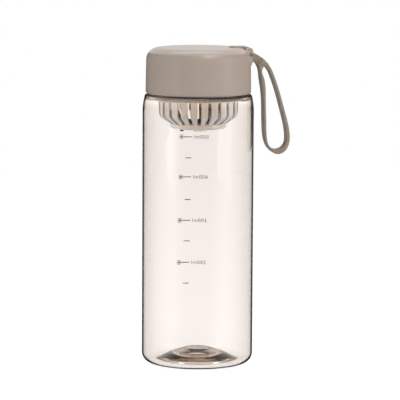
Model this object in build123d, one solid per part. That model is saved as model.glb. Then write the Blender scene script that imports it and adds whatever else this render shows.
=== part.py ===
from build123d import *
from math import atan2, cos, degrees, radians, sin, tan
import os

# Fruit infuser water bottle, in millimetres, +Z up. The origin is the centre of the foot ring, on the
# plane that the bottle stands on. The strap hangs on the +X side.
# Radii are worked out from the body inwards: body, lid shell, liner, neck, basket.
# Heights are worked out from the shoulder upwards: shoulder, neck rim, seal, liner, lid top.

# Clearances and the overrun of every cutting solid
overrun = 2.0
run_gap = 0.3        # between pieces that move past each other
seat_gap = 0.1       # round pieces that are fixed together
pin_gap = 0.05       # radial, round the strap's cross pin

# Bottle body: a clear blow-moulded jar with a straight wall and a domed base
body_diameter = 71.2
body_wall = 1.7
foot_rounding = 6.5
shoulder_height = 173.0
shoulder_lean_in = 1.5
shoulder_lean_height = 6.0
shoulder_curve = 40.0
shoulder_inner_curve = 12.0
shoulder_edge = 1.0
shoulder_wall = 2.0
shoulder_inner_edge = 1.5
floor_height = 2.0
floor_rounding = 4.8
floor_flat = 2.9     # level ring of the floor, between its outer rounding and the dome
dome_flank = 9.0     # radial width of the dome's steep part
dome_break_height = 6.6
dome_curve = 25.0
gate_diameter = 16.0
gate_height = 9.3
gate_edge = 0.8
base_wall = 2.8
foot_flat = 6.6      # level ring that the bottle stands on
foot_recess_depth = 2.0
foot_recess_edge = 0.6

# Neck: a plain tube with a step inside its rim for the basket's flange
neck_height = 24.0
neck_lip_wall = 1.1
neck_step = 0.9
neck_root_rounding = 0.8
neck_rim_edge = 0.35

# Strainer basket
basket_gap = 0.45
basket_wall = 1.5
basket_depth = 45.6
basket_flange = 1.4
basket_curve = 4.5
basket_cone_height = 5.5
basket_cone_width = 7.5
basket_foot_height = 2.9
basket_foot_edge = 2.0
basket_floor = 1.5
slot_count = 24
slot_first_angle = 8.9    # degrees from the lug
slot_width = 2.4
slot_height = 14.6
slot_end_rise = 0.6
drain_diameter = 2.0
drain_pitch = 4.6
drain_margin = 1.2   # from the outer ring of drains to the foot's wall
drains_per_ring = 5

# Seal ring between the liner's ceiling and the neck
seal_thickness = 2.4
seal_width = 3.8
seal_edge = 0.5
seal_lip_wall = 1.2
seal_lip_drop = 1.9

# Liner: the inner cup of the lid, wide where the thread is and narrower round the rim
thread_room = 1.4
liner_wall = 1.3
liner_upper_wall = 1.0
liner_upper_gap = 0.4
liner_ceiling = 1.6
liner_corner = 1.6
liner_skirt_lift = 1.0

# Lid shell
lid_set_in = 1.8
lid_skirt_gap = 0.8
lid_wall = 2.3
lid_lean_in = 0.5
lid_ceiling = 2.0
lid_rounding = 7.75
lid_inner_rounding = 3.0
lid_skirt_edge = 1.4

# Strap lug: two ears that stand out of the shell's corner, with the strap's slot between them
ear_thickness = 2.3
lug_cover = 1.6      # from the pin's centre to the lug's outer face
lug_floor = 2.1
lug_blend = 1.0      # rolled hollow where the ears leave the shell
lug_corner = 0.5
lug_top_rounding = 2.2
lug_foot_draw = 3.4
lug_foot_rounding = 2.5
pocket_wall = 0.9

# Cross pin
pin_diameter = 2.0
pin_drop = 4.5       # below the lid's top
pin_inset = 0.3
pin_edge = 0.2

# Keeper plate over the inner end of the slot
keeper_length = 10.4
keeper_sink = 1.2
keeper_proud = 0.85
keeper_corner = 2.4
keeper_edge = 0.4

# Strap: one moulded band, an eye and a short root that forks into a closed loop
eye_radius = 2.15
root_width = 8.0
band_width = 10.0
root_fall = 35.0     # degrees below level, along the root's centre line
root_spread = 13.0   # degrees between the root's upper and lower faces
root_length = 6.0
root_flare = 3.5
strap_reach = 26.0   # from the pin out to the loop's outermost point
strap_drop = 64.0    # from the pin down to the loop's lowest point

# The loop's outer outline below the root, then its inner outline: each point is a share of the
# strap's reach, outwards, and a share of its drop, downwards
outer_shares = [
    (0.182, 0.001),
    (0.334, 0.043),
    (0.472, 0.105),
    (0.592, 0.202),
    (0.699, 0.323),
    (0.870, 0.564),
    (0.952, 0.686),
    (1.000, 0.805),
    (0.970, 0.914),
    (0.860, 0.979),
    (0.700, 1.000),
    (0.542, 0.973),
    (0.410, 0.900),
    (0.352, 0.797),
    (0.332, 0.620),
    (0.321, 0.455),
    (0.290, 0.333),
    (0.246, 0.213),
    (0.212, 0.135),
    (0.155, 0.093),
]
inner_shares = [
    (0.360, 0.119),
    (0.443, 0.152),
    (0.515, 0.213),
    (0.623, 0.334),
    (0.793, 0.578),
    (0.869, 0.700),
    (0.909, 0.820),
    (0.868, 0.914),
    (0.700, 0.956),
    (0.512, 0.926),
    (0.430, 0.835),
    (0.410, 0.683),
    (0.394, 0.442),
    (0.333, 0.219),
    (0.310, 0.141),
]

# Radii, from the body inwards
body_r = body_diameter / 2
inner_r = body_r - body_wall
lid_r = body_r - lid_set_in
lid_inner_r = lid_r - lid_wall
liner_r = lid_inner_r - lid_lean_in - run_gap
liner_bore_r = liner_r - liner_wall
neck_r = liner_bore_r - thread_room
neck_seat_r = neck_r - neck_lip_wall
bore_r = neck_seat_r - neck_step
flange_r = neck_seat_r - run_gap
basket_r = bore_r - basket_gap
basket_inner_r = basket_r - basket_wall
basket_foot_r = basket_r - basket_cone_width
seal_r = neck_r + seat_gap
liner_upper_bore_r = neck_r + liner_upper_gap
liner_upper_r = liner_upper_bore_r + liner_upper_wall

# Heights, from the shoulder upwards
rim_z = shoulder_height + neck_height
seal_top_z = rim_z + seal_thickness
liner_top_z = seal_top_z + liner_ceiling
lid_top_z = liner_top_z + lid_ceiling
lid_foot_z = shoulder_height + lid_skirt_gap
basket_foot_z = rim_z - basket_depth
basket_cone_z = basket_foot_z + basket_foot_height

# The pin's centre and the faces round it, from the liner outwards
slot_back_x = liner_upper_r + seat_gap + pocket_wall
pin_x = slot_back_x + run_gap + eye_radius
pin_z = lid_top_z - pin_drop
lug_face_x = pin_x + lug_cover
slot_half = root_width / 2 + run_gap
lug_half = slot_half + ear_thickness
upper_fall = root_fall - root_spread / 2
lower_fall = root_fall + root_spread / 2
eye_room = eye_radius + run_gap
slot_foot_x = pin_x - eye_room * sin(radians(lower_fall))
slot_foot_z = pin_z - eye_room * cos(radians(lower_fall))
lug_foot_z = slot_foot_z - (lug_face_x - slot_foot_x) * tan(radians(lower_fall)) - lug_floor
liner_step_z = lug_foot_z - seat_gap


def turned(*corners):
    """Solid of revolution about Z; each corner of its outline is radius, height and rounding."""
    points = [(radius, height) for radius, height, rounding in corners]
    roundings = [rounding for radius, height, rounding in corners]
    outline = FilletPolyline(points, radius=roundings, close=True)
    return revolve(Plane.XZ * make_face(outline), Axis.Z)


def block(x_range, y_range, z_range):
    """Box between two places along each axis."""
    sizes = [high - low for low, high in (x_range, y_range, z_range)]
    corner = Pos(x_range[0], y_range[0], z_range[0])
    return corner * Box(*sizes, align=(Align.MIN, Align.MIN, Align.MIN))


def side_face(edges):
    """Face in the XZ plane from edges drawn as x and z."""
    return Plane.XZ * make_face(edges)


def bottle_body():
    """Clear jar: straight wall, leaning shoulder, stepped neck and a domed base on a foot ring."""
    dome_r = inner_r - floor_rounding - floor_flat
    break_r = dome_r - dome_flank
    gate_r = gate_diameter / 2
    recess_r = body_r - foot_rounding - foot_flat
    lean_z = shoulder_height - shoulder_lean_height
    lean_slope = shoulder_lean_in / shoulder_lean_height
    roof_z = shoulder_height - shoulder_wall
    outer = turned(
        (0, gate_height - base_wall, 0),
        (gate_r, gate_height - base_wall, gate_edge),
        (break_r, dome_break_height - base_wall, dome_curve),
        (recess_r, foot_recess_depth, 0),
        (recess_r, 0, foot_recess_edge),
        (body_r, 0, foot_rounding),
        (body_r, lean_z, shoulder_curve),
        (body_r - shoulder_lean_in, shoulder_height, shoulder_edge),
        (neck_r, shoulder_height, neck_root_rounding),
        (neck_r, rim_z, neck_rim_edge),
        (0, rim_z, 0),
    )
    cavity = turned(
        (0, gate_height, 0),
        (gate_r, gate_height, gate_edge),
        (break_r, dome_break_height, dome_curve),
        (dome_r, floor_height, floor_rounding / 2),
        (inner_r, floor_height, floor_rounding),
        (inner_r, lean_z, shoulder_inner_curve),
        (inner_r - (roof_z - lean_z) * lean_slope, roof_z, shoulder_inner_edge),
        (bore_r, roof_z, shoulder_edge),
        (bore_r, rim_z - basket_flange, 0),
        (neck_seat_r, rim_z - basket_flange, 0),
        (neck_seat_r, rim_z + overrun, 0),
        (0, rim_z + overrun, 0),
    )
    return outer - cavity


def strainer_basket():
    """Shallow cup on a flange, with upright slots round its side and drain holes in its foot."""
    cone_r = basket_r
    cone_top_z = basket_cone_z + basket_cone_height
    cone_lean = atan2(basket_cone_height, basket_r - basket_foot_r)
    cone_inset = basket_wall / sin(cone_lean)
    inner_cone_r = basket_foot_r - cone_inset + basket_floor / tan(cone_lean)
    cup = turned(
        (0, basket_foot_z, 0),
        (basket_foot_r, basket_foot_z, basket_foot_edge),
        (basket_foot_r, basket_cone_z, 0),
        (cone_r, cone_top_z, basket_curve),
        (basket_r, rim_z - basket_flange, 0),
        (flange_r, rim_z - basket_flange, 0),
        (flange_r, rim_z, 0),
        (0, rim_z, 0),
    )
    sump_z = basket_foot_z + basket_floor
    hollow = turned(
        (0, sump_z, 0),
        (basket_foot_r - basket_wall, sump_z, 0),
        (basket_foot_r - basket_wall, basket_cone_z + basket_floor, 0),
        (max(inner_cone_r, basket_foot_r - basket_wall), basket_cone_z + basket_floor, 0),
        (basket_inner_r, cone_top_z + basket_floor / 2, basket_curve - basket_wall),
        (basket_inner_r, rim_z + overrun, 0),
        (0, rim_z + overrun, 0),
    )
    slot_foot = basket_cone_z + slot_end_rise
    slot = block(
        (basket_foot_r - basket_wall, basket_r + overrun),
        (-slot_width / 2, slot_width / 2),
        (slot_foot, slot_foot + slot_height),
    )
    basket = cup - hollow
    for index in range(slot_count):
        basket -= Rot(Z=slot_first_angle + 360 / slot_count * index) * slot
    drain = Cylinder(drain_diameter / 2, basket_floor + 2 * overrun)
    drain_room = basket_foot_r - basket_wall - drain_margin - drain_diameter / 2
    drain_rings = int(drain_room / drain_pitch)
    basket -= Pos(Z=sump_z) * drain
    for ring in range(1, drain_rings + 1):
        count = drains_per_ring * ring
        for index in range(count):
            basket -= Rot(Z=360 / count * index) * Pos(X=drain_pitch * ring, Z=sump_z) * drain
    return basket


def lid_seal():
    """Flat silicone ring that covers both the basket's flange and the neck's rim."""
    return turned(
        (seal_r - seal_width, rim_z, seal_edge),
        (seal_r, rim_z, seal_edge),
        (seal_r, seal_top_z, seal_edge),
        (seal_r - seal_width, seal_top_z, seal_edge),
    )


def lid_liner():
    """Inner cup of the lid, with a lip that keeps the seal ring in place."""
    lip_r = seal_r - seal_width - run_gap
    skirt_z = lid_foot_z + liner_skirt_lift
    cup = turned(
        (0, liner_top_z, 0),
        (liner_upper_r, liner_top_z, liner_corner),
        (liner_upper_r, liner_step_z, 0),
        (liner_r, liner_step_z, seal_edge),
        (liner_r, skirt_z, 0),
        (liner_bore_r, skirt_z, 0),
        (liner_bore_r, liner_step_z - liner_wall, seal_edge),
        (liner_upper_bore_r, liner_step_z - liner_wall, 0),
        (liner_upper_bore_r, seal_top_z, 0),
        (lip_r, seal_top_z, 0),
        (lip_r, seal_top_z - seal_lip_drop, 0),
        (lip_r - seal_lip_wall, seal_top_z - seal_lip_drop, 0),
        (lip_r - seal_lip_wall, seal_top_z, 0),
        (0, seal_top_z, 0),
    )
    return cup


def strap_slot():
    """Cutting solid of the slot: round under the eye, then along the root's lower face."""
    far = lug_cover + eye_room + overrun
    foot = (slot_foot_x, slot_foot_z)
    end = (foot[0] + far, foot[1] - far * tan(radians(lower_fall)))
    top_z = lid_top_z + overrun
    turn = degrees(atan2(foot[1] - pin_z, foot[0] - pin_x)) % 360
    edges = [
        CenterArc((pin_x, pin_z), eye_room, 180, turn - 180),
        Line(foot, end),
        Line(end, (end[0], top_z)),
        Line((end[0], top_z), (pin_x - eye_room, top_z)),
        Line((pin_x - eye_room, top_z), (pin_x - eye_room, pin_z)),
    ]
    return extrude(side_face(edges), amount=slot_half, both=True)


def strap_lug():
    """Block of the two ears, reaching in to the liner."""
    inner_x = liner_upper_r + seat_gap
    points = [
        (inner_x, -lug_half),
        (lug_face_x, -lug_half),
        (lug_face_x, lug_half),
        (inner_x, lug_half),
    ]
    plan = make_face(FilletPolyline(points, radius=[0, lug_corner, lug_corner, 0], close=True))
    return extrude(Pos(Z=lug_foot_z) * plan, amount=lid_top_z - lug_foot_z)


def lug_trim(outer):
    """What comes off the lug's outer face: its rounded top edge and its drawn-in foot."""
    wall_x = lid_r - lid_lean_in
    side_points = [
        (0, lug_foot_z - overrun),
        (wall_x, lug_foot_z - overrun),
        (wall_x, lug_foot_z),
        (lug_face_x, lug_foot_z + lug_foot_draw),
        (lug_face_x, lid_top_z),
        (0, lid_top_z),
    ]
    side_roundings = [0, 0, lug_corner, lug_foot_rounding, lug_top_rounding, 0]
    side = side_face(FilletPolyline(side_points, radius=side_roundings, close=True))
    kept = extrude(side, amount=lug_half + 2 * overrun, both=True)
    reach = block(
        (slot_back_x, lug_face_x + overrun),
        (-lug_half - overrun, lug_half + overrun),
        (lug_foot_z - overrun / 2, lid_top_z + overrun),
    )
    return reach - kept - outer


def lid_shell():
    """Outer cap: leaning wall, broad rounded top edge, blended strap lug, slot and keeper recess."""
    outer = turned(
        (0, lid_foot_z, 0),
        (lid_r, lid_foot_z, lid_skirt_edge),
        (lid_r - lid_lean_in, lid_top_z, lid_rounding),
        (0, lid_top_z, 0),
    )
    hollow = turned(
        (0, lid_foot_z - overrun, 0),
        (lid_inner_r, lid_foot_z - overrun, 0),
        (lid_inner_r, lid_foot_z, 0),
        (lid_inner_r - lid_lean_in, liner_top_z, lid_inner_rounding),
        (0, liner_top_z, 0),
    )
    lug = strap_lug()
    whole = outer + lug
    seams = [
        edge
        for edge in whole.edges().filter_by(GeomType.BSPLINE)
        if abs(abs(edge.center().Y) - lug_half) < seat_gap
    ]
    pin_hole = Cylinder(pin_diameter / 2 + pin_gap, 2 * (lug_half + overrun))
    recess_z = lid_top_z - keeper_sink
    shell = fillet(seams, lug_blend) - hollow + lug
    shell -= lug_trim(outer)
    shell -= strap_slot()
    shell -= Pos(pin_x, 0, pin_z) * Rot(X=90) * pin_hole
    shell -= extrude(Pos(Z=recess_z) * keeper_plan(seat_gap), amount=keeper_sink + overrun)
    return shell


def keeper_plan(gap):
    """Plan of the keeper: square at the slot, round-cornered towards the lid's middle."""
    half = root_width / 2 + gap
    inner_x = slot_back_x - keeper_length - gap
    points = [
        (inner_x, -half),
        (slot_back_x, -half),
        (slot_back_x, half),
        (inner_x, half),
    ]
    return make_face(FilletPolyline(points, radius=[keeper_corner, 0, 0, keeper_corner], close=True))


def strap_keeper():
    """Snap-in plate that stands a little proud of the lid's top."""
    foot_z = lid_top_z - keeper_sink
    plate = extrude(Pos(Z=foot_z) * keeper_plan(0), amount=keeper_sink + keeper_proud)
    return fillet(plate.edges().group_by(Axis.Z)[-1], keeper_edge)


def strap_pin():
    """Cross pin through both ears."""
    length = 2 * (lug_half - pin_inset)
    pin = Pos(pin_x, 0, pin_z) * Rot(X=90) * Cylinder(pin_diameter / 2, length)
    return chamfer(pin.edges().filter_by(GeomType.CIRCLE), pin_edge)


def strap_outline():
    """Side view of the strap: eye, root and the loop's outer curve."""
    eye_top = (
        pin_x + eye_radius * sin(radians(upper_fall)),
        pin_z + eye_radius * cos(radians(upper_fall)),
    )
    eye_foot = (
        pin_x - eye_radius * sin(radians(lower_fall)),
        pin_z - eye_radius * cos(radians(lower_fall)),
    )
    points = [(pin_x + strap_reach * out, pin_z - strap_drop * down) for out, down in outer_shares]
    start_way = (cos(radians(upper_fall)), -sin(radians(upper_fall)))
    end_way = (-cos(radians(lower_fall)), sin(radians(lower_fall)))
    loop = Spline(eye_top, *points, eye_foot, tangents=(start_way, end_way))
    eye = ThreePointArc(eye_foot, (pin_x - eye_radius, pin_z), eye_top)
    return side_face([loop, eye])


def strap():
    """Silicone carrying loop on the cross pin, narrower where it passes between the ears."""
    inner = [(pin_x + strap_reach * out, pin_z - strap_drop * down) for out, down in inner_shares]
    opening = side_face([Spline(*inner, periodic=True)])
    band = extrude(strap_outline(), amount=band_width / 2, both=True)
    band -= extrude(opening, amount=band_width, both=True)
    cheek_x = root_length + root_flare
    cheek_points = [
        (-eye_radius - overrun, root_width / 2),
        (root_length, root_width / 2),
        (cheek_x, band_width / 2),
        (cheek_x, band_width),
        (-eye_radius - overrun, band_width),
    ]
    cheek = make_face(FilletPolyline(cheek_points, radius=[0, root_flare, root_flare, 0, 0], close=True))
    root_plane = Plane(
        origin=(pin_x, 0, pin_z),
        x_dir=(cos(radians(root_fall)), 0, -sin(radians(root_fall))),
        z_dir=(sin(radians(root_fall)), 0, cos(radians(root_fall))),
    )
    cheek_cut = extrude(root_plane * cheek, amount=band_width, both=True)
    band -= cheek_cut
    band -= mirror(cheek_cut, Plane.XZ)
    eye = Cylinder(pin_diameter / 2 + pin_gap, band_width + overrun)
    band -= Pos(pin_x, 0, pin_z) * Rot(X=90) * eye
    return band


def write(node, shape):
    """One STEP file for one node."""
    export_step(shape, os.path.join("parts", node + ".step"))


os.makedirs("parts", exist_ok=True)
write("bottle_body", bottle_body())
write("strainer_basket", strainer_basket())
write("lid_seal", lid_seal())
write("lid_liner", lid_liner())
write("lid_shell", lid_shell())
write("strap_keeper", strap_keeper())
write("strap_pin", strap_pin())
write("strap", strap())
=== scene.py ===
from math import cos, pi, radians, sin

import bmesh
import bpy
from mathutils import Matrix, Vector


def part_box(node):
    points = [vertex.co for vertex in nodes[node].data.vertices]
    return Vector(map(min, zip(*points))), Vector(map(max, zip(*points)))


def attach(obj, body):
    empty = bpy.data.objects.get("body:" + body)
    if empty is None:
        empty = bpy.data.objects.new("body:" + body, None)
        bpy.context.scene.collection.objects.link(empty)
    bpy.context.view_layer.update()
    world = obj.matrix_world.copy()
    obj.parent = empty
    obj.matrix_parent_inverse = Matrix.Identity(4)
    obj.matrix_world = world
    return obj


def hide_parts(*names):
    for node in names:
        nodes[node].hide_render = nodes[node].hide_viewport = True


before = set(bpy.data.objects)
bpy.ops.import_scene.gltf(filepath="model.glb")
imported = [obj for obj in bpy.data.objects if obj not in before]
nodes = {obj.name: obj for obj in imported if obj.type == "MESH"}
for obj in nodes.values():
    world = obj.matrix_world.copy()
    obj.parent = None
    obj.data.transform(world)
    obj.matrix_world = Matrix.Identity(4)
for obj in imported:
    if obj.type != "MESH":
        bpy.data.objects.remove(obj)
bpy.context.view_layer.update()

# Bottle body: one clear, faintly smoky pink jar of thick copolyester, blow-moulded and polished by
# flame, with upright streaks from the stretch. Painted light and shade follow the viewing angle across
# the wall; painted shade darkens its edges, the shoulder's roof and the neck's root, and a painted
# glow lights the shoulder's corner. The middle of the thick base is tinted a deeper brown.
mm = 0.001
wall_pink = (0.938, 0.900, 0.880)
wall_cream = (0.935, 0.917, 0.890)
wall_drift = 0.35
# Painted light and shade by viewing angle: a lighter band near square-on, darker towards the edges.
wall_light_and_shade_ramp = [
    (0.0, wall_pink), (0.03, wall_pink), (0.09, (0.978, 0.942, 0.922)), (0.14, (0.978, 0.942, 0.922)),
    (0.26, (0.942, 0.897, 0.872)), (0.45, (0.885, 0.835, 0.790)), (0.65, (0.86, 0.80, 0.76)),
]
# Painted shade: near-black colour of the wall where it is seen edge on, and of the shoulder's roof.
painted_edge_shade = (0.010, 0.008, 0.007)
streak_scale = (45, 45, 3)
wall_ior = 1.5
wall_gloss_tint = (0.12, 0.12, 0.12, 1)
wall_roughness = (0.0, 0.03)
wall_roughness_scale = 60
ripple_scale = 25
ripple_depth = 0.03 * mm
even_grazing = 0.5
outer_face = (0.0, 0.35)
shoulder_heights = (160 * mm, 165 * mm)
corner_glow_ramp = [(0.1, 0.0), (0.22, 1.0), (0.5, 1.0), (0.68, 0.0)]
# Heights and reach of the painted shade at the neck's root.
root_shade_heights = (172.5 * mm, 172.9 * mm, 176 * mm, 177 * mm)
root_shade_reach = (28.5 * mm, 29 * mm)
# Painted glow: emission colour that lights the shoulder's corner, though it is no lamp.
painted_corner_glow = (0.20, 0.16, 0.13)
dome_reach = (26 * mm, 27.5 * mm)
dome_heights = (10 * mm, 14 * mm)
dome_tint = (0.68, 0.56, 0.47)
edge_shade_ramp = [
    (0.13, 0.0), (0.38, 0.03), (0.6, 0.08), (0.66, 0.14), (0.70, 0.27), (0.73, 0.52), (0.755, 0.85),
    (0.775, 1.0),
]


def srgb(red, green, blue):
    """Linear colour of a screen colour given from 0 to 255."""
    shares = [value / 255 for value in (red, green, blue)]
    return [share / 12.92 if share < 0.04045 else ((share + 0.055) / 1.055) ** 2.4 for share in shares]


def finish(name, base, **plain):
    """A material of one Principled shader; plain holds its constant sockets."""
    material = bpy.data.materials.new(name)
    material.use_nodes = True
    shader = material.node_tree.nodes["Principled BSDF"]
    shader.inputs["Base Color"].default_value = (*base, 1)
    for socket, value in plain.items():
        shader.inputs[socket.replace("_", " ")].default_value = value
    return material, material.node_tree, shader


def dress(node, material):
    """Gives a CAD node this material."""
    nodes[node].data.materials.clear()
    nodes[node].data.materials.append(material)


def noise(tree, scale, detail=2, stretch=(1, 1, 1)):
    """Noise over the piece's own coordinates, with this many lumps in a metre."""
    place = tree.nodes.new("ShaderNodeTexCoord")
    turn = tree.nodes.new("ShaderNodeMapping")
    turn.inputs["Scale"].default_value = stretch
    texture = tree.nodes.new("ShaderNodeTexNoise")
    texture.inputs["Scale"].default_value = scale
    texture.inputs["Detail"].default_value = detail
    tree.links.new(place.outputs["Object"], turn.inputs["Vector"])
    tree.links.new(turn.outputs["Vector"], texture.inputs["Vector"])
    return texture.outputs["Fac"]


def spread(tree, factor, low, high, start=0.0, end=1.0):
    """A factor between start and end carried to a range from low to high."""
    span = tree.nodes.new("ShaderNodeMapRange")
    for socket, value in (("From Min", start), ("From Max", end), ("To Min", low), ("To Max", high)):
        span.inputs[socket].default_value = value
    tree.links.new(factor, span.inputs["Value"])
    return span.outputs["Result"]


def blend(tree, factor, first, second):
    """Colour between two others, each a colour or a socket."""
    mix = tree.nodes.new("ShaderNodeMix")
    mix.data_type = "RGBA"
    tree.links.new(factor, mix.inputs["Factor"])
    for socket, value in ((mix.inputs[6], first), (mix.inputs[7], second)):
        if isinstance(value, bpy.types.NodeSocket):
            tree.links.new(value, socket)
        else:
            socket.default_value = (*value, 1)
    return mix.outputs[2]


def reckon(tree, operation, *values):
    """Sum worked out from sockets and numbers."""
    step = tree.nodes.new("ShaderNodeMath")
    step.operation = operation
    for socket, value in zip(step.inputs, values):
        if isinstance(value, bpy.types.NodeSocket):
            tree.links.new(value, socket)
        else:
            socket.default_value = value
    return step.outputs[0]


def bump(tree, shader, height, depth):
    """Relief of this depth in metres."""
    relief = tree.nodes.new("ShaderNodeBump")
    relief.inputs["Distance"].default_value = depth
    tree.links.new(height, relief.inputs["Height"])
    tree.links.new(relief.outputs["Normal"], shader.inputs["Normal"])


def steps(tree, factor, stops):
    """Ramp through the given places, each with a grey level or a colour."""
    ramp = tree.nodes.new("ShaderNodeValToRGB")
    points = ramp.color_ramp.elements
    points[0].position, points[1].position = stops[0][0], stops[-1][0]
    for place, level in stops[1:-1]:
        points.new(place)
    for point, (place, level) in zip(points, stops):
        point.color = (*level, 1) if isinstance(level, tuple) else (level, level, level, 1)
    tree.links.new(factor, ramp.inputs["Fac"])
    return ramp.outputs["Color"]


def axis_parts(tree):
    """Height, distance from the upright axis, and how far the face turns away from it and upwards."""
    place = tree.nodes.new("ShaderNodeTexCoord").outputs
    flat, outward, away, reach = (tree.nodes.new("ShaderNodeVectorMath") for step in range(4))
    flat.operation, outward.operation = "MULTIPLY", "NORMALIZE"
    away.operation, reach.operation = "DOT_PRODUCT", "LENGTH"
    flat.inputs[1].default_value = (1, 1, 0)
    height, level = (tree.nodes.new("ShaderNodeSeparateXYZ") for step in range(2))
    tree.links.new(place["Object"], flat.inputs[0])
    tree.links.new(place["Object"], height.inputs[0])
    tree.links.new(place["Normal"], level.inputs[0])
    tree.links.new(flat.outputs["Vector"], outward.inputs[0])
    tree.links.new(flat.outputs["Vector"], reach.inputs[0])
    tree.links.new(outward.outputs["Vector"], away.inputs[0])
    tree.links.new(place["Normal"], away.inputs[1])
    behind = tree.nodes.new("ShaderNodeNewGeometry").outputs["Backfacing"]
    side = reckon(tree, "MULTIPLY_ADD", behind, -2.0, 1.0)
    ways = (away.outputs["Value"], level.outputs["Z"])
    turned = (reckon(tree, "MULTIPLY", way, side) for way in ways)
    return height.outputs["Z"], reach.outputs["Value"], *turned


def grazing(tree):
    """0 where a face is seen square on, 1 where it is seen edge on."""
    weight = tree.nodes.new("ShaderNodeLayerWeight")
    weight.inputs["Blend"].default_value = even_grazing
    return weight.outputs["Facing"]


clear_wall, tree, shader = finish(
    "clear_wall", wall_pink, IOR=wall_ior, Transmission_Weight=1.0, Specular_Tint=wall_gloss_tint,
    Emission_Strength=1.0,
)
slant = grazing(tree)
# Painted light and shade across the wall, following the viewing angle.
painted_bands = steps(tree, slant, wall_light_and_shade_ramp)
drift = spread(tree, noise(tree, 1, 3, streak_scale), 0.0, wall_drift)
streaks_and_painted_bands = blend(tree, drift, painted_bands, wall_cream)
# Painted shade that darkens the wall where it is seen edge on, kept to outward and upward faces.
edge_shade = steps(tree, slant, edge_shade_ramp)
height, reach, away, upward = axis_parts(tree)
shoulder = spread(tree, height, 0.0, 1.0, *shoulder_heights)
# Painted glow on the shoulder's rounded corner, left out where the edge shade lies.
corner_glow = reckon(tree, "MULTIPLY", steps(tree, upward, corner_glow_ramp), shoulder)
outer = reckon(tree, "MAXIMUM", away, reckon(tree, "MULTIPLY", upward, shoulder))
edge_shade = reckon(tree, "MULTIPLY", edge_shade, spread(tree, outer, 0.0, 1.0, *outer_face))
corner_glow = reckon(tree, "MULTIPLY", corner_glow, reckon(tree, "SUBTRACT", 1.0, edge_shade))
# Painted shade at the neck's root, where the lid keeps light off, joined to the edge shade.
root_shade = reckon(tree, "MULTIPLY", spread(tree, height, 0.0, 1.0, *root_shade_heights[:2]),
              spread(tree, height, 1.0, 0.0, *root_shade_heights[2:]))
root_shade = reckon(tree, "MULTIPLY", root_shade, spread(tree, reach, 1.0, 0.0, *root_shade_reach))
edge_shade = reckon(tree, "MAXIMUM", edge_shade, root_shade)
deep = reckon(tree, "MULTIPLY", spread(tree, reach, 1.0, 0.0, *dome_reach),
              spread(tree, height, 1.0, 0.0, *dome_heights))
tint = blend(tree, deep, streaks_and_painted_bands, dome_tint)
tree.links.new(blend(tree, edge_shade, tint, painted_edge_shade), shader.inputs["Base Color"])
tree.links.new(blend(tree, corner_glow, (0, 0, 0), painted_corner_glow), shader.inputs["Emission Color"])
gloss = spread(tree, noise(tree, wall_roughness_scale), *wall_roughness)
tree.links.new(gloss, shader.inputs["Roughness"])
bump(tree, shader, noise(tree, ripple_scale, 1), ripple_depth)
dress("bottle_body", clear_wall)

# Screw thread of the neck: one raised rib of a turn and a half, moulded with the jar, that runs out
# at both ends. It is right-handed, so the lid comes off anticlockwise.
rim_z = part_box("bottle_body")[1].z
neck_radius = 28.0 * mm
thread_below_rim = 16 * mm
thread_lead = 5.0 * mm
thread_depth = 1.1 * mm
thread_sunk = 0.1 * mm
thread_root = 2.0 * mm
thread_crest_share = 0.45
thread_turns = 1.5
thread_steps = 150
neck_thread_z = rim_z - thread_below_rim
run_out = 2.6 * mm
run_out_share = 0.25


def begin(name, primitive, measure=(1, 1, 1), **how):
    """Starts a piece from a primitive, with its place in its mesh, and leaves it in edit mode."""
    bpy.ops.object.select_all(action="DESELECT")
    primitive(**how)
    piece = bpy.context.object
    piece.name = name
    piece.scale = measure
    bpy.ops.object.transform_apply(location=True, rotation=True, scale=True)
    bpy.ops.object.mode_set(mode="EDIT")
    return piece


def select(piece, test, kind="verts"):
    """Selects the points, edges or faces of a piece in edit mode whose middle passes a test."""
    mesh = bmesh.from_edit_mesh(piece.data)
    bpy.ops.mesh.select_mode(type={"verts": "VERT", "edges": "EDGE", "faces": "FACE"}[kind])
    bpy.ops.mesh.select_all(action="DESELECT")
    for part in getattr(mesh, kind):
        points = [part] if kind == "verts" else part.verts
        middle = sum((point.co for point in points), Vector()) / len(points)
        if test(middle, part):
            part.select_set(True)
    mesh.select_flush(True)
    bmesh.update_edit_mesh(piece.data)


def settle(piece, smooth=40):
    """Closes a piece: outward faces, applied modifiers and soft shading below an angle."""
    if bpy.context.mode != "OBJECT":
        bpy.ops.mesh.select_all(action="SELECT")
        bpy.ops.mesh.remove_doubles(threshold=0.001 * mm)
        bpy.ops.mesh.normals_make_consistent(inside=False)
        bpy.ops.object.mode_set(mode="OBJECT")
    bpy.ops.object.select_all(action="DESELECT")
    piece.select_set(True)
    bpy.context.view_layer.objects.active = piece
    for modifier in list(piece.modifiers):
        bpy.ops.object.modifier_apply(modifier=modifier.name)
    bpy.ops.object.shade_smooth_by_angle(angle=radians(smooth))


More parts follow.
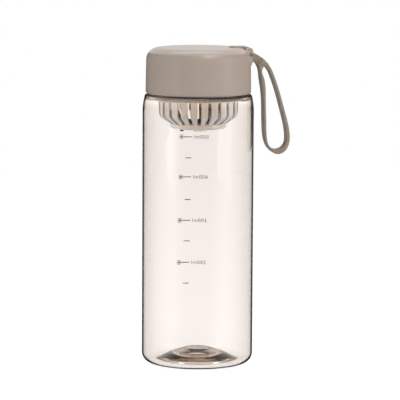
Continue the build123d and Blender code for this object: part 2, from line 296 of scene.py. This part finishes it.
def screw_rib(name, radius, depth, start_z):
    """Helical rib on a round wall; a negative depth points inwards."""
    sunk = thread_sunk if depth > 0 else -thread_sunk
    width = depth + sunk
    rib = begin(
        name, bpy.ops.mesh.primitive_plane_add, size=1,
        location=(radius - sunk + width / 2, 0, start_z), rotation=(pi / 2, 0, 0),
        measure=(abs(width), thread_root, 1),
    )
    select(rib, lambda place, part: (place.x - radius) / depth > 0.5)
    bpy.ops.transform.resize(value=(1, 1, thread_crest_share))
    bpy.ops.object.mode_set(mode="OBJECT")
    turn = rib.modifiers.new("turn", "SCREW")
    turn.angle = 2 * pi * thread_turns
    turn.screw_offset = thread_lead * thread_turns
    turn.steps = turn.render_steps = thread_steps
    bpy.ops.object.modifier_apply(modifier="turn")
    bpy.ops.object.mode_set(mode="EDIT")
    bpy.ops.mesh.select_all(action="SELECT")
    bpy.ops.mesh.fill_holes(sides=4)
    bpy.ops.mesh.select_all(action="SELECT")
    bpy.ops.mesh.normals_make_consistent(inside=False)
    for side in (1, -1):
        select(rib, lambda place, part: abs(part.normal.y) > 0.9 and place.x * side > 0, "faces")
        bpy.ops.mesh.extrude_region_move(TRANSFORM_OT_translate={"value": (0, -run_out, 0)})
        bpy.ops.transform.resize(value=(run_out_share, 1, run_out_share))
    settle(rib)
    return rib


neck_thread = screw_rib("neck_thread", neck_radius, thread_depth, neck_thread_z)
neck_thread.data.materials.append(clear_wall)
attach(neck_thread, "bottle")

# Printed scale: marks screen-printed in one dark ink on the back of the wall, to be read from behind,
# so they show reversed through the bottle. Each 100 ml has a ringed dot, a line and its number, each
# 50 ml between them a short dash, and a triangle points to the fill limit.
ink_dark = srgb(46, 40, 38)
ink_worn = srgb(84, 74, 70)
wall_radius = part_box("bottle_body")[1].x
print_stand = wall_radius + 3 * mm  # where the marks are drawn, before they go onto the wall
ink_thickness = 0.05 * mm
ink_scale = 2500
ink_roughness = (0.45, 0.65)
ink_roughness_scale = 4000
ink_grain = 6000
ink_relief = 0.01 * mm
print_lean = radians(-1.0)
print_spacing = 1.19
print_lean_z = 142.6 * mm
mark_heights = {
    150: 45.9 * mm, 200: 59.7 * mm, 250: 73.9 * mm, 300: 87.5 * mm,
    350: 101.2 * mm, 400: 116.1 * mm, 450: 128.6 * mm, 500: 142.4 * mm,
}
limit_z = 146.9 * mm
line_weight = 0.5 * mm
line_divisions = 12
dot_x = -6.3 * mm
ring_radius = 1.55 * mm
ring_weight = 0.3 * mm
dot_radius = 0.7 * mm
line_range = (-4.9 * mm, 0.9 * mm)
dash_range = (-3.3 * mm, 0.8 * mm)
text_x = 2.1 * mm
text_size = 3.5 * mm
text_weight = 0.0
limit_radius = 1.6 * mm
facing_back = (pi / 2, 0, pi)
print_pieces = []


def bar(ends, height):
    """Printed line, divided along its length to follow the wall."""
    print_pieces.append(begin(
        "mark", bpy.ops.mesh.primitive_grid_add, x_subdivisions=line_divisions, y_subdivisions=1,
        size=1, location=((ends[0] + ends[1]) / 2, print_stand, height), rotation=facing_back,
        measure=(ends[1] - ends[0], line_weight, 1),
    ))
    bpy.ops.object.mode_set(mode="OBJECT")


def disc(radius, height, corners=40, weight=None):
    """Printed disc, or a ring of the given weight."""
    print_pieces.append(begin(
        "mark", bpy.ops.mesh.primitive_circle_add, vertices=corners, radius=radius, fill_type="NGON",
        location=(dot_x, print_stand, height), rotation=facing_back,
    ))
    if weight:
        bpy.ops.mesh.inset(thickness=weight)
        bpy.ops.mesh.delete(type="FACE")
    bpy.ops.object.mode_set(mode="OBJECT")


def words(text, height):
    """Printed lettering that ends beside its line."""
    bpy.ops.object.select_all(action="DESELECT")
    bpy.ops.object.text_add(location=(text_x, print_stand, height), rotation=facing_back)
    lettering = bpy.context.object
    lettering.data.body = text
    lettering.data.size = text_size
    lettering.data.offset = text_weight
    lettering.data.space_character = print_spacing
    lettering.data.align_x = "RIGHT"
    lettering.data.align_y = "CENTER"
    lettering.data.resolution_u = 4
    bpy.ops.object.convert(target="MESH")
    bpy.ops.object.transform_apply(location=True, rotation=True, scale=True)
    print_pieces.append(bpy.context.object)


for millilitres, height in mark_heights.items():
    if millilitres % 100:
        bar(dash_range, height)
        continue
    disc(ring_radius, height, weight=ring_weight)
    disc(dot_radius, height)
    bar(line_range, height)
    words(str(millilitres) + "ml", height)
disc(limit_radius, limit_z, corners=3)
words("MAX", limit_z)
for piece in print_pieces:
    piece.select_set(True)
bpy.context.view_layer.objects.active = print_pieces[0]
bpy.ops.object.join()
volume_scale = bpy.context.object
volume_scale.name = "volume_scale"
bpy.ops.object.mode_set(mode="EDIT")
bpy.ops.mesh.select_all(action="SELECT")
bpy.ops.transform.rotate(value=print_lean, orient_axis="Y", center_override=(dot_x, 0, print_lean_z))
bpy.ops.object.mode_set(mode="OBJECT")
onto_wall = volume_scale.modifiers.new("onto_wall", "SHRINKWRAP")
onto_wall.target = nodes["bottle_body"]
onto_wall.wrap_method = "PROJECT"
onto_wall.use_project_y = True
onto_wall.use_negative_direction = True
onto_wall.use_positive_direction = False
onto_wall.project_limit = 3 * (print_stand - wall_radius)
coat = volume_scale.modifiers.new("coat", "SOLIDIFY")
coat.thickness = ink_thickness
coat.offset = 0.0
settle(volume_scale, 20)
scale_ink, tree, shader = finish("scale_ink", ink_dark)
tree.links.new(blend(tree, noise(tree, ink_scale), ink_dark, ink_worn), shader.inputs["Base Color"])
gloss = spread(tree, noise(tree, ink_roughness_scale), *ink_roughness)
tree.links.new(gloss, shader.inputs["Roughness"])
bump(tree, shader, noise(tree, ink_grain), ink_relief)
volume_scale.data.materials.append(scale_ink)
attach(volume_scale, "bottle")

# Strainer basket: a shallow cup of milky plastic, moulded in one with its flange, its upright slots
# and the drain holes in its foot. Painted shade makes its inside dark brown, where the lid keeps light
# out; its outside stays milky, with painted light that pales its flanks where they are seen edge on.
basket_milky = srgb(232, 216, 198)
# Painted light: near-white colour of the basket's flanks where they are seen edge on.
painted_flank_light = srgb(252, 249, 246)
# Painted shade: dark brown colour of the basket's inner faces.
basket_inner_shade = srgb(140, 112, 84)
inner_shade_edge = (-0.75, -0.35)
flank_light_ramp = [(0.08, 0.0), (0.3, 0.75), (0.6, 1.0)]
drift_scale = 55


def moulded_grain():
    """Node group of a moulded face: slow drift of tone, fine grain, and gloss that goes with it."""
    group = bpy.data.node_groups.new("moulded_grain", "ShaderNodeTree")
    face = group.interface
    face.new_socket("Colour", in_out="INPUT", socket_type="NodeSocketColor")
    for name in ("Tone drift", "Grain", "Roughness", "Roughness drift"):
        face.new_socket(name, in_out="INPUT", socket_type="NodeSocketFloat")
    face.new_socket("Colour", in_out="OUTPUT", socket_type="NodeSocketColor")
    face.new_socket("Roughness", in_out="OUTPUT", socket_type="NodeSocketFloat")
    face.new_socket("Height", in_out="OUTPUT", socket_type="NodeSocketFloat")
    given = group.nodes.new("NodeGroupInput").outputs
    made = group.nodes.new("NodeGroupOutput").inputs
    grain = noise(group, 1, 3)
    group.links.new(given["Grain"], grain.node.inputs["Scale"])

    def swing(factor, reach, middle):
        """Middle value, moved by the factor within the reach."""
        return reckon(group, "MULTIPLY_ADD", reckon(group, "SUBTRACT", factor, 0.5), reach, middle)

    tone = group.nodes.new("ShaderNodeHueSaturation")
    group.links.new(given["Colour"], tone.inputs["Color"])
    group.links.new(swing(noise(group, drift_scale), given["Tone drift"], 1.0), tone.inputs["Value"])
    group.links.new(tone.outputs["Color"], made["Colour"])
    group.links.new(swing(grain, given["Roughness drift"], given["Roughness"]), made["Roughness"])
    group.links.new(grain, made["Height"])
    return group


grain_group = moulded_grain()


def moulded(name, base, drift, grain, roughness, gloss_drift, depth, **plain):
    """Moulded plastic or rubber with the shared grain."""
    material, tree, shader = finish(name, base, **plain)
    face = tree.nodes.new("ShaderNodeGroup")
    face.node_tree = grain_group
    face.inputs["Colour"].default_value = (*base, 1)
    settings = {
        "Tone drift": drift, "Grain": grain, "Roughness": roughness, "Roughness drift": gloss_drift,
    }
    for socket, value in settings.items():
        face.inputs[socket].default_value = value
    tree.links.new(face.outputs["Colour"], shader.inputs["Base Color"])
    tree.links.new(face.outputs["Roughness"], shader.inputs["Roughness"])
    bump(tree, shader, face.outputs["Height"], depth)
    return material


milky_basket = moulded(
    "milky_basket", basket_milky, drift=0.08, grain=1500, roughness=0.30, gloss_drift=0.1,
    depth=0.006 * mm, Transmission_Weight=0.25, IOR=1.5,
)
tree = milky_basket.node_tree
# Painted shade on the basket's inner faces, where the lid keeps light out.
outside = spread(tree, axis_parts(tree)[2], 0.0, 1.0, *inner_shade_edge)
grain_node = next(node for node in tree.nodes if node.type == "GROUP")
# Painted light: the milky colour turns near white where a face is seen edge on.
milky_with_painted_flanks = blend(tree, steps(tree, grazing(tree), flank_light_ramp), basket_milky, painted_flank_light)
tree.links.new(blend(tree, outside, basket_inner_shade, milky_with_painted_flanks), grain_node.inputs["Colour"])
dress("strainer_basket", milky_basket)

# Seal ring: a soft white silicone ring with rounded edges and a shallow groove on each face. It lies
# under the liner's ceiling and is pressed on the basket's flange and on the neck's rim.
seal_white = srgb(228, 224, 218)
seal_inner = 24.32 * mm
seal_inset = 0.02 * mm
seal_rounding = 0.5 * mm
seal_groove = 0.25 * mm
seal_steps = 150
seal_low, seal_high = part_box("lid_seal")
seal_width = seal_high.x - seal_inset - seal_inner
seal_height = seal_high.z - seal_low.z - 2 * seal_inset
seal_middle = (seal_inner + seal_width / 2, (seal_low.z + seal_high.z) / 2)
seal_ring = begin(
    "seal_ring", bpy.ops.mesh.primitive_plane_add, size=1,
    location=(seal_middle[0], 0, seal_middle[1]), rotation=(pi / 2, 0, 0),
    measure=(seal_width, seal_height, 1),
)
bpy.ops.mesh.delete(type="ONLY_FACE")
for side in (1, -1):
    select(
        seal_ring, lambda place, part: (place.z - seal_middle[1]) * side > seal_height / 4, "edges",
    )
    bpy.ops.mesh.subdivide(number_cuts=3)
    select(seal_ring, lambda place, part: abs(place.x - seal_middle[0]) < seal_width / 8
           and (place.z - seal_middle[1]) * side > 0)
    bpy.ops.transform.translate(value=(0, 0, -side * seal_groove))
bpy.ops.mesh.select_all(action="SELECT")
bpy.ops.mesh.spin(steps=seal_steps, angle=2 * pi, center=(0, 0, 0), axis=(0, 0, 1))
rounding = seal_ring.modifiers.new("rounding", "BEVEL")
rounding.width = seal_rounding
rounding.segments = 4
rounding.limit_method = "ANGLE"
rounding.angle_limit = radians(50)
settle(seal_ring, 35)
seal_ring.data.materials.append(moulded(
    "white_silicone", seal_white, drift=0.05, grain=1400, roughness=0.55, gloss_drift=0.1,
    depth=0.01 * mm, Subsurface_Weight=0.2,
))
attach(seal_ring, "seal")
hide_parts("lid_seal")

# Lid liner: the inner cup of the lid, satin plastic in the lid's colour, snapped into the shell. The
# rib that grips the neck's thread is moulded inside its skirt, half a lead below the neck's own.
liner_taupe = srgb(176, 163, 150)
liner_bore = 29.4 * mm
satin_liner = moulded(
    "satin_liner", liner_taupe, drift=0.06, grain=1600, roughness=0.42, gloss_drift=0.1,
    depth=0.01 * mm,
)
dress("lid_liner", satin_liner)
liner_thread = screw_rib("liner_thread", liner_bore, -thread_depth, neck_thread_z - thread_lead / 2)
liner_thread.data.materials.append(satin_liner)
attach(liner_thread, "lid")

# Lid shell: a soft matte taupe cap, its mould spark-eroded to a fine even grain, with the two ears of
# the strap lug on its corner and a recess in its top for the keeper.
lid_taupe = srgb(161, 147, 136)
dress("lid_shell", moulded(
    "matte_taupe", lid_taupe, drift=0.05, grain=3000, roughness=0.32, gloss_drift=0.08,
    depth=0.008 * mm, Specular_IOR_Level=0.9,
))

# Strap keeper: a small plate of the lid's plastic, a shade darker, that is pressed into the recess
# and closes the inner end of the strap's slot.
keeper_taupe = srgb(150, 138, 127)
dress("strap_keeper", moulded(
    "keeper_taupe", keeper_taupe, drift=0.05, grain=3000, roughness=0.42, gloss_drift=0.1,
    depth=0.01 * mm,
))

# Cross pin: dull ground steel, pressed through both ears of the lug and through the strap's eye, its
# ends a little below the ears' faces.
steel_grey = srgb(176, 166, 154)
steel_dark = srgb(150, 141, 131)
steel_scale = 1500
steel_roughness = (0.5, 0.65)
steel_roughness_scale = 3000
steel_grain = 5000
steel_relief = 0.005 * mm
pin_steel, tree, shader = finish("pin_steel", steel_grey, Metallic=0.5)
gloss = spread(tree, noise(tree, steel_roughness_scale), *steel_roughness)
tone = blend(tree, noise(tree, steel_scale), steel_grey, steel_dark)
tree.links.new(gloss, shader.inputs["Roughness"])
tree.links.new(tone, shader.inputs["Base Color"])
bump(tree, shader, noise(tree, steel_grain), steel_relief)
dress("strap_pin", pin_steel)

# Carrying strap: one band of darker taupe silicone, moulded with an eye and a root that forks into a
# closed loop. Its edges are rounded, and it has the dull, slightly dusty skin of an eroded mould.
strap_taupe = srgb(143, 128, 112)
strap_voxel = 0.3 * mm
strap_passes = 20
strap_softness = 0.5
strap_band = bpy.data.objects.new("strap_band", nodes["strap"].data.copy())
bpy.context.scene.collection.objects.link(strap_band)
strap_band.data.materials.clear()
bpy.ops.object.select_all(action="DESELECT")
strap_band.select_set(True)
bpy.context.view_layer.objects.active = strap_band
bpy.ops.mesh.customdata_custom_splitnormals_clear()
bpy.ops.object.mode_set(mode="EDIT")
bpy.ops.mesh.select_all(action="SELECT")
bpy.ops.mesh.remove_doubles(threshold=0.001 * mm)
bpy.ops.object.mode_set(mode="OBJECT")
strap_band.data.remesh_voxel_size = strap_voxel
bpy.ops.object.voxel_remesh()
rounding = strap_band.modifiers.new("rounding", "SMOOTH")
rounding.factor = strap_softness
rounding.iterations = strap_passes
settle(strap_band)
strap_band.data.materials.append(moulded(
    "soft_taupe_silicone", strap_taupe, drift=0.08, grain=2200, roughness=0.58, gloss_drift=0.12,
    depth=0.012 * mm, Sheen_Weight=0.4,
))
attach(strap_band, "carrying_strap")
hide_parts("strap")

# Studio table and surround: a plain pale round table, shown white behind the object, in a white
# surround that hides its edge. Black cards stand close round the object, and only gloss shows them,
# which keeps the clear wall's outline dark.
surround_light = 0.38
table_white = 0.9
table_glow_share = 0.74
table_glow = 1.19
table_drop = 0.2 * mm
table_radius = 1.1
table_sides = 96
card_distance = 0.066
card_height = 0.2
card_sides = 48
card_black = (0.02, 0.018, 0.016)
lamp_aim = (0, 0, 0.15)


def backdrop_share(tree):
    """1 for a ray that shows the background itself, or shows it in gloss or through the wall."""
    path = tree.nodes.new("ShaderNodeLightPath").outputs
    share = reckon(tree, "MAXIMUM", path["Is Camera Ray"], path["Is Glossy Ray"])
    return reckon(tree, "MAXIMUM", share, path["Is Transmission Ray"])


def choose(tree, share, first, second):
    """Shader between two others."""
    mix = tree.nodes.new("ShaderNodeMixShader")
    if isinstance(share, bpy.types.NodeSocket):
        tree.links.new(share, mix.inputs["Fac"])
    else:
        mix.inputs["Fac"].default_value = share
    tree.links.new(first, mix.inputs[1])
    tree.links.new(second, mix.inputs[2])
    return mix.outputs["Shader"]


def plain_tree(holder):
    """Empty node tree of a world or material."""
    holder.use_nodes = True
    holder.node_tree.nodes.clear()
    return holder.node_tree


def lit(tree, kind, colour, strength):
    """Background or emission shader of one level."""
    source = tree.nodes.new(kind)
    source.inputs["Color"].default_value = (*colour, 1)
    source.inputs["Strength"].default_value = strength
    return source.outputs[0]


white = (1, 1, 1)
surround = bpy.data.worlds.new("studio_surround")
bpy.context.scene.world = surround
tree = plain_tree(surround)
sky = tree.nodes.new("ShaderNodeOutputWorld")
light, shown = (lit(tree, "ShaderNodeBackground", white, level) for level in (surround_light, 1.0))
tree.links.new(choose(tree, backdrop_share(tree), light, shown), sky.inputs["Surface"])

bpy.ops.object.select_all(action="DESELECT")
bpy.ops.mesh.primitive_circle_add(
    vertices=table_sides, radius=table_radius, fill_type="NGON", location=(0, 0, -table_drop),
)
table = bpy.context.object
table.name = "table"
pale_table = bpy.data.materials.new("pale_table")
tree = plain_tree(pale_table)
out = tree.nodes.new("ShaderNodeOutputMaterial")
cloth = tree.nodes.new("ShaderNodeBsdfDiffuse")
cloth.inputs["Color"].default_value = (table_white, table_white, table_white, 1)
glow = lit(tree, "ShaderNodeEmission", white, table_glow)
shown = choose(tree, table_glow_share, cloth.outputs["BSDF"], glow)
surface = choose(tree, backdrop_share(tree), cloth.outputs["BSDF"], shown)
tree.links.new(surface, out.inputs["Surface"])
table.data.materials.append(pale_table)

bpy.ops.object.select_all(action="DESELECT")
bpy.ops.mesh.primitive_cylinder_add(
    vertices=card_sides, radius=card_distance, depth=card_height, end_fill_type="NGON",
    location=(0, 0, (card_height - table_drop) / 2),
)
black_cards = bpy.context.object
black_cards.name = "black_cards"
bpy.ops.object.mode_set(mode="EDIT")
select(black_cards, lambda place, part: place.z > 0.9 * card_height, "faces")
bpy.ops.mesh.delete(type="FACE")
bpy.ops.object.mode_set(mode="OBJECT")
black_cards.visible_camera = False
black_cards.visible_diffuse = False
black_cards.visible_transmission = False
black_cards.visible_volume_scatter = False
black_cards.visible_shadow = False
black_card = bpy.data.materials.new("black_card")
tree = plain_tree(black_card)
out = tree.nodes.new("ShaderNodeOutputMaterial")
tree.links.new(lit(tree, "ShaderNodeEmission", card_black, 1.0), out.inputs["Surface"])
black_cards.data.materials.append(black_card)


def softbox(name, azimuth, height, distance, width, length, power, mirrored=False):
    """Soft lamp that faces the upper part of the wall; only a mirrored one shows in gloss."""
    lamp = bpy.data.lights.new(name, "AREA")
    lamp.shape = "RECTANGLE"
    lamp.size = width
    lamp.size_y = length
    lamp.energy = power
    holder = bpy.data.objects.new(name, lamp)
    bpy.context.scene.collection.objects.link(holder)
    place = Vector((sin(radians(azimuth)) * distance, -cos(radians(azimuth)) * distance, height))
    holder.location = place
    holder.visible_glossy = mirrored
    holder.rotation_euler = (Vector(lamp_aim) - place).to_track_quat("-Z", "Y").to_euler()


softbox("left_box", azimuth=-61, height=0.35, distance=0.9, width=0.26, length=0.9, power=3.8)
softbox("left_fill", azimuth=-61, height=0.35, distance=0.95, width=0.5, length=0.9, power=0.9)
softbox("right_box", azimuth=59, height=0.35, distance=0.9, width=0.28, length=0.9, power=4.0)
softbox("right_fill", azimuth=60, height=0.35, distance=0.95, width=0.6, length=0.9, power=2.0)
softbox(
    "top_box", azimuth=25, height=1.0, distance=0.6, width=0.3, length=0.3, power=2.4, mirrored=True,
)
softbox(
    "back_box", azimuth=180, height=1.3, distance=0.4, width=0.9, length=0.4, power=3.0, mirrored=True,
)

# Camera: a long lens a little above the lid and to the object's left, rolled by a third of a degree.
camera_distance = 1.772
camera_height = 0.320
camera_side = radians(-8)
camera_aside = radians(-0.047)
camera_pitch = radians(6.92)
camera_roll = radians(0.315)
lens_share = 2779 / 400
sensor_width = 36
lens = bpy.data.cameras.new("camera")
lens.sensor_width = sensor_width
lens.lens = lens_share * sensor_width
camera = bpy.data.objects.new("camera", lens)
bpy.context.scene.collection.objects.link(camera)
stand = (camera_distance * sin(camera_side), -camera_distance * cos(camera_side), camera_height)
camera.matrix_world = (
    Matrix.Translation(stand)
    @ Matrix.Rotation(camera_side + camera_aside, 4, "Z")
    @ Matrix.Rotation(pi / 2 - camera_pitch, 4, "X")
    @ Matrix.Rotation(camera_roll, 4, "Z")
)
bpy.context.scene.camera = camera
bpy.context.scene.view_settings.view_transform = "Standard"
